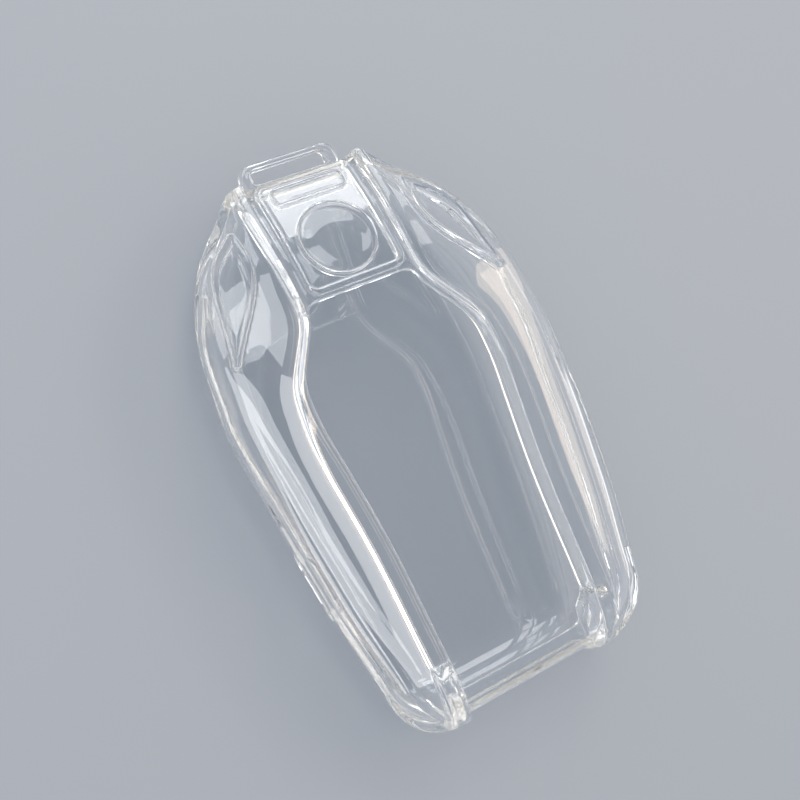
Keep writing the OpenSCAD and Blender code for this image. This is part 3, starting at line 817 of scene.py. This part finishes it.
def side_x(y, z):
    """Half width of the body at a height below its widest line."""
    s = place_s(y, 0)
    v = min(1, max(0, (bulge_z(s, 0) - z) / (bulge_z(s, 0) - back_z(s))))
    return mix(half_w(s) * BACK_W_SHARE, wide_at(s, 0), (1 - v ** UNDER_POWER) ** (1 / UNDER_POWER))


def port_rings(rows):
    rings = []
    for offset, level in rows:
        ring = []
        for p, n in box_outline(PORT_LEN, PORT_H, PORT_H / 2 - 0.01, 16):
            y, z = PORT_MIDDLE + p + n * offset
            ring.append(Vector((-side_x(y, z) - level, y, z)))
        rings.append(ring)
    return rings


PORT_RIM, PORT_PROUD = 0.9, 0.35


def port_ring(keep_above):
    """Half of the raised rim round the port, on one side of the seam."""
    rows = [(-0.4, -0.5), (PORT_RIM, -0.5), (PORT_RIM, 0.02), (PORT_RIM - 0.1, 0.2),
            (PORT_RIM - 0.3, PORT_PROUD), (-0.4, PORT_PROUD)]
    ring = loft("port_ring", port_rings(rows), around=True)
    work = bmesh.new()
    work.from_mesh(ring.data)
    side = 1 if keep_above else -1
    bmesh.ops.bisect_plane(work, geom=work.verts[:] + work.edges[:] + work.faces[:],
                           plane_co=(0, 0, SPLIT_H + side * (SEAM + 0.02)), plane_no=(0, 0, side),
                           clear_inner=True)
    bmesh.ops.holes_fill(work, edges=[e for e in work.edges if e.is_boundary], sides=0)
    bmesh.ops.recalc_face_normals(work, faces=work.faces)
    work.to_mesh(ring.data)
    work.free()
    return ring


def port_cutter():
    arc = edge_arc(0.3, 0, CUT_TURN)
    rows = [(0, -4), (0, PORT_PROUD - 0.3)] + [(o, PORT_PROUD + level) for o, level in arc]
    rows += [(0.66, PORT_PROUD + 0.12), (0.66, PORT_PROUD + 2)]
    return loft("port", port_rings(rows))


cut(front, "UNION", port_ring(True))
cut(front, "DIFFERENCE", port_cutter())
print("front faces after the port:", len(front.data.polygons))

# %% [markdown]
# The rear takes the tongues, its half of the port and the key-ring tab. The tab is a flat loop with small
# rounds on its edges, moulded on the end wall, so a ring or strap can pass through it.

# %% The rear: tongues, port and key-ring tab
TAB_W, TAB_RIM, TAB_H, TAB_R, SLOT_R, TAB_DROP = 18.2, 1, 2, 2.2, 0.9, 0.15


def tab_ring():
    """The key-ring tab, a rounded loop that is moulded on the end wall."""
    root, tip = Y_END + PANEL_TO - WALL / 2, Y_END + BODY_LEN + TAB_REACH
    slot_from, slot_to = Y_END + PANEL_TO + TAB_RIM, tip - TAB_RIM
    low, high = SPLIT_H - TAB_H - TAB_DROP, SPLIT_H - TAB_DROP
    outside = box_outline(TAB_W, tip - root, TAB_R, 10)
    inside = box_outline(TAB_W - 4 * TAB_RIM, slot_to - slot_from, SLOT_R, 10)
    arc = edge_arc(0.28)
    path = [(-o, low - level) for o, level in reversed(arc)] + [(-o, high + level) for o, level in arc]
    rings = []
    for outline, middle, sign in ((outside, (root + tip) / 2, 1), (inside, (slot_from + slot_to) / 2, -1)):
        for offset, z in path[::sign]:
            flat = [p + n * offset * sign for p, n in outline]
            rings.append([Vector((p.x, middle + p.y, z)) for p in flat])
    return loft("tab_ring", rings, around=True)


cut(rear, "UNION", *rail("tongue", *TONGUE))
cut(rear, "UNION", port_ring(False))
cut(rear, "DIFFERENCE", port_cutter(), end_cutter(*REAR_LOW_END), end_cutter(*HIGH_END))
cut(rear, "UNION", tab_ring())
print("rear faces:", len(rear.data.polygons))


# %% [markdown]
# Three helpers that every finish uses. One turns an sRGB hex colour into the linear colour that the shader
# wants, one adds a node with its settings and links in one line, and one makes a material with no nodes yet.

# %% Helpers for materials
def linear(hex_colour):
    """An sRGB hex colour as a linear colour with full opacity."""
    channels = [int(hex_colour[i:i + 2], 16) / 255 for i in (1, 3, 5)]
    return (*[c / 12.92 if c <= 0.04045 else ((c + 0.055) / 1.055) ** 2.4 for c in channels], 1.0)


def add_node(tree, kind, settings=None, **inputs):
    """Adds a node. A setting names a property; an input is a value, or a socket to link from."""
    node = tree.nodes.new(kind)
    for name, value in (settings or {}).items():
        setattr(node, name, value)
    for name, value in inputs.items():
        socket = node.inputs[name.replace("_", " ")]
        if isinstance(value, bpy.types.NodeSocket):
            tree.links.new(value, socket)
        else:
            socket.default_value = value
    return node


def new_material(name):
    """A material and its node tree, which is still empty."""
    material = bpy.data.materials.new(name)
    material.use_nodes = True
    material.node_tree.nodes.clear()
    return material, material.node_tree


print("#808080 in linear light:", round(linear("#808080")[0], 3))

# %% [markdown]
# The plastic is polycarbonate, injection moulded in a polished mould. It is colourless, with an index of
# refraction of 1.58, so every rim and ridge shows a bright and a dark line. Thick edges look faintly warm,
# because the plastic itself takes a little of the blue. The polish is good but never perfect: very shallow
# waves some millimetres apart bend the reflections, and handling leaves patches with a slight haze. The grain
# of the polish is finer than a pixel, so it is drawn as coarse as it needs to show, 0.7 mm from mark to mark.

# %% Clear moulded polycarbonate
WAVE_MM, WAVE_DEPTH_MM = 7.0, 0.005
HAZE_MM = 9.0
GRAIN_MM, GRAIN_DEPTH_MM = 0.7, 0.0003


def clear_polycarbonate(name, roughness):
    """Clear plastic with mould waves, a fine grain and patches of haze."""
    material, tree = new_material(name)
    place = add_node(tree, "ShaderNodeTexCoord").outputs["Object"]
    haze = add_node(tree, "ShaderNodeTexNoise", Vector=place, Scale=1 / (HAZE_MM * MM), Detail=4.0,
                    Roughness=0.6)
    rough = add_node(tree, "ShaderNodeMapRange", Value=haze.outputs["Fac"], From_Min=0.35, From_Max=0.75,
                     To_Min=roughness, To_Max=roughness * 3)
    wave = add_node(tree, "ShaderNodeTexNoise", Vector=place, Scale=1 / (WAVE_MM * MM), Detail=1.0)
    waves = add_node(tree, "ShaderNodeBump", Height=wave.outputs["Fac"], Strength=1.0,
                     Distance=WAVE_DEPTH_MM * MM)
    grain = add_node(tree, "ShaderNodeTexNoise", Vector=place, Scale=1 / (GRAIN_MM * MM), Detail=2.0)
    surface = add_node(tree, "ShaderNodeBump", Height=grain.outputs["Fac"], Strength=1.0,
                       Distance=GRAIN_DEPTH_MM * MM, Normal=waves.outputs["Normal"])
    shader = add_node(tree, "ShaderNodeBsdfPrincipled", Base_Color=linear("#FCFDFE"), IOR=1.58,
                      Transmission_Weight=1.0, Roughness=rough.outputs["Result"],
                      Normal=surface.outputs["Normal"])
    # Real clear plastic lets light through, so its shadow is light: the shader is open to shadow rays and to
    # the rays that the table sends up.
    lets_light = add_node(tree, "ShaderNodeBsdfTransparent", Color=linear("#EEF0F2"))
    kind_of_ray = add_node(tree, "ShaderNodeLightPath")
    shown = shader
    for kind in ("Is Diffuse Ray", "Is Shadow Ray"):
        open_to = add_node(tree, "ShaderNodeMixShader", Fac=kind_of_ray.outputs[kind])
        tree.links.new(shown.outputs[0], open_to.inputs[1])
        tree.links.new(lets_light.outputs["BSDF"], open_to.inputs[2])
        shown = open_to
    body = add_node(tree, "ShaderNodeVolumeAbsorption", Color=linear("#F8F3E8"), Density=7.0)
    add_node(tree, "ShaderNodeOutputMaterial", Surface=shown.outputs["Shader"], Volume=body.outputs["Volume"])
    return material


plastic = clear_polycarbonate("moulded_polycarbonate", 0.012)
print("finish:", plastic.name)

# %% [markdown]
# Each piece is turned to metres and shaded smooth, apart from edges that turn by more than a set angle. Then
# it takes the place of its engineering solid and rides on that solid's body, so it moves with the joint.

# %% Finish the pieces and set them on their bodies
SHARP_ANGLE = math.radians(32)
WELD_DISTANCE = 2e-6


def finish_piece(piece, node, body):
    """Turns a piece to metres, smooths it and puts it in place of its solid."""
    mesh = piece.data
    mesh.transform(Matrix.Scale(MM, 4))
    work = bmesh.new()
    work.from_mesh(mesh)
    bmesh.ops.remove_doubles(work, verts=work.verts, dist=WELD_DISTANCE)
    open_edges = sum(1 for e in work.edges if not e.is_manifold)
    for face in work.faces:
        face.smooth = True
    for edge in work.edges:
        if edge.is_manifold:
            edge.smooth = edge.calc_face_angle(0) < SHARP_ANGLE
    work.to_mesh(mesh)
    volume = work.calc_volume() / MM ** 3
    work.free()
    mesh.materials.clear()
    mesh.materials.append(plastic)
    # The cuts leave slivers. Larger faces count for more in the shading, so that highlights run on over them.
    even = piece.modifiers.new("even_shading", "WEIGHTED_NORMAL")
    even.keep_sharp = True
    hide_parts(node)
    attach(piece, body)
    print(piece.name, "faces", len(mesh.polygons), "volume", round(volume), "mm3", "open edges", open_edges)


finish_piece(front, "front_shell", "front_shell")
finish_piece(rear, "rear_shell", "rear_shell")
for name, pad in pads.items():
    finish_piece(pad, name + "_pad", name + "_pad")


# %% [markdown]
# Clear plastic shows its surroundings, so the studio matters more than it does for a painted object. The
# floor is a plain pale grey and rough, so it mirrors nothing sharply and the plastic's own lines stay clear.

# %% Floor
FLOOR_REACH, FLOOR_DROP = 1.5, 0.0002


def add_floor():
    """A square floor a hair below the cover, so that the two surfaces never lie in one plane."""
    mesh = bpy.data.meshes.new("floor")
    corners = [(-1, -1), (1, -1), (1, 1), (-1, 1)]
    places = [(FLOOR_REACH * x, FLOOR_REACH * y, -FLOOR_DROP) for x, y in corners]
    mesh.from_pydata(places, [], [(0, 1, 2, 3)])
    floor = bpy.data.objects.new("floor", mesh)
    bpy.context.scene.collection.objects.link(floor)
    material, tree = new_material("pale_grey_table")
    shader = add_node(tree, "ShaderNodeBsdfPrincipled", Base_Color=linear("#AEB2B8"), Roughness=0.55)
    add_node(tree, "ShaderNodeOutputMaterial", Surface=shader.outputs["BSDF"])
    mesh.materials.append(material)
    return floor


floor = add_floor()
print("floor under the cover at", floor.data.vertices[0].co.z / MM, "mm")


# %% [markdown]
# The walls of the studio begin in much the same grey as the floor. Above that they turn into a bright band
# that draws the rims as bright lines, and overhead they are quieter. Four softboxes stand where the
# photograph's highlights come from: two lay a veil on the panel and the upper wings, a long strip draws the
# two streaks on the left wing, and a warmer strip gives the right wing its beige band.

# %% Studio light
RIG_HEIGHT, WALL_GLOW = 0.6, 1.2
SOFTBOXES = {"window_softbox": ((0.30, 0.62), (0.34, 0.22), 4.5, "#FFFFFF"),
             "leaf_softbox": ((0.13, 0.31), (0.26, 0.13), 4.0, "#FFFFFF"),
             "side_strip": ((-0.05, 0.02), (0.11, 0.38), 5.0, "#FFFFFF"),
             "warm_strip": ((0.61, 0.0), (0.16, 0.56), 3.4, "#FFE9CF")}


def add_softbox(name, place, size, glow, colour):
    """A rectangular lamp that faces the cover. Its glow is how bright its face looks, where 1 is white."""
    data = bpy.data.lights.new(name, "AREA")
    data.shape = "RECTANGLE"
    data.size, data.size_y = size
    data.energy = glow * math.pi * size[0] * size[1]
    data.color = linear(colour)[:3]
    lamp = bpy.data.objects.new(name, data)
    lamp.location = (*place, RIG_HEIGHT)
    away = lamp.location.normalized()
    across_way = Vector((0, 1, 0)).cross(away).normalized()
    lamp.matrix_world = (Matrix.Translation(lamp.location)
                         @ Matrix((across_way, away.cross(across_way), away)).transposed().to_4x4())
    bpy.context.scene.collection.objects.link(lamp)
    return lamp


def add_studio():
    """Soft light from all round: grey at the horizon, a bright band above it, quieter overhead."""
    world = bpy.data.worlds.new("studio")
    bpy.context.scene.world = world
    world.use_nodes = True
    tree = world.node_tree
    tree.nodes.clear()
    way = add_node(tree, "ShaderNodeTexCoord").outputs["Generated"]
    height = add_node(tree, "ShaderNodeSeparateXYZ", Vector=way)
    ramp = add_node(tree, "ShaderNodeValToRGB", Fac=height.outputs["Z"])
    stops = ((0.0, "#9A9EA5"), (0.08, "#A6AAB1"), (0.26, "#FFFFFF"), (0.48, "#DCE0E6"), (1.0, "#5E636D"))
    elements = ramp.color_ramp.elements
    while len(elements) < len(stops):
        elements.new(0.5)
    for element, (place, colour) in zip(elements, stops):
        element.position = place
        element.color = linear(colour)
    light = add_node(tree, "ShaderNodeBackground", Color=ramp.outputs["Color"], Strength=WALL_GLOW)
    add_node(tree, "ShaderNodeOutputWorld", Surface=light.outputs["Background"])
    return world


studio = add_studio()
for name, (place, size, glow, colour) in SOFTBOXES.items():
    add_softbox(name, place, size, glow, colour)
bpy.context.scene.view_settings.view_transform = "Standard"
# Inside a clear rim the light turns back many times before it leaves. Cut short, such paths end in black.
LIGHT_TURNS = 128
cycles = bpy.context.scene.cycles
cycles.max_bounces = cycles.glossy_bounces = cycles.transmission_bounces = LIGHT_TURNS
print("world:", studio.name, "softboxes:", len(SOFTBOXES))
